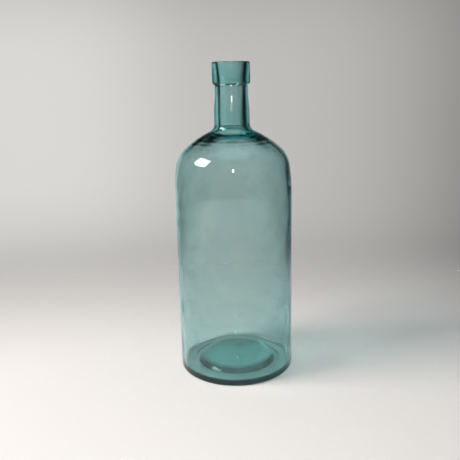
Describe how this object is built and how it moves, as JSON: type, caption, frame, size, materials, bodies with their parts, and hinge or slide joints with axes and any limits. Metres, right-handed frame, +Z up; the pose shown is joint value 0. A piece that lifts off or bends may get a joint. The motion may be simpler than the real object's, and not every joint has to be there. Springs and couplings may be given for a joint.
{
  "type": "medicine bottle",
  "caption": "Cylindrical blown-glass medicine bottle with a round shoulder, a narrow neck, an applied collar lip and a pushed-up base, open at the mouth.",
  "frame": {"origin": "centre of the resting ring, on the surface that the bottle stands on", "axes": "+Z up along the bottle's axis, towards the mouth; +Y away from the front; the bottle is round about Z"},
  "size_m": [0.09, 0.09, 0.237],
  "materials": {
    "aqua_glass": "glossy"
  },
  "bodies": {
    "root": {"bottle_body": "aqua_glass", "applied_lip": "aqua_glass"}
  },
  "joints": []
}
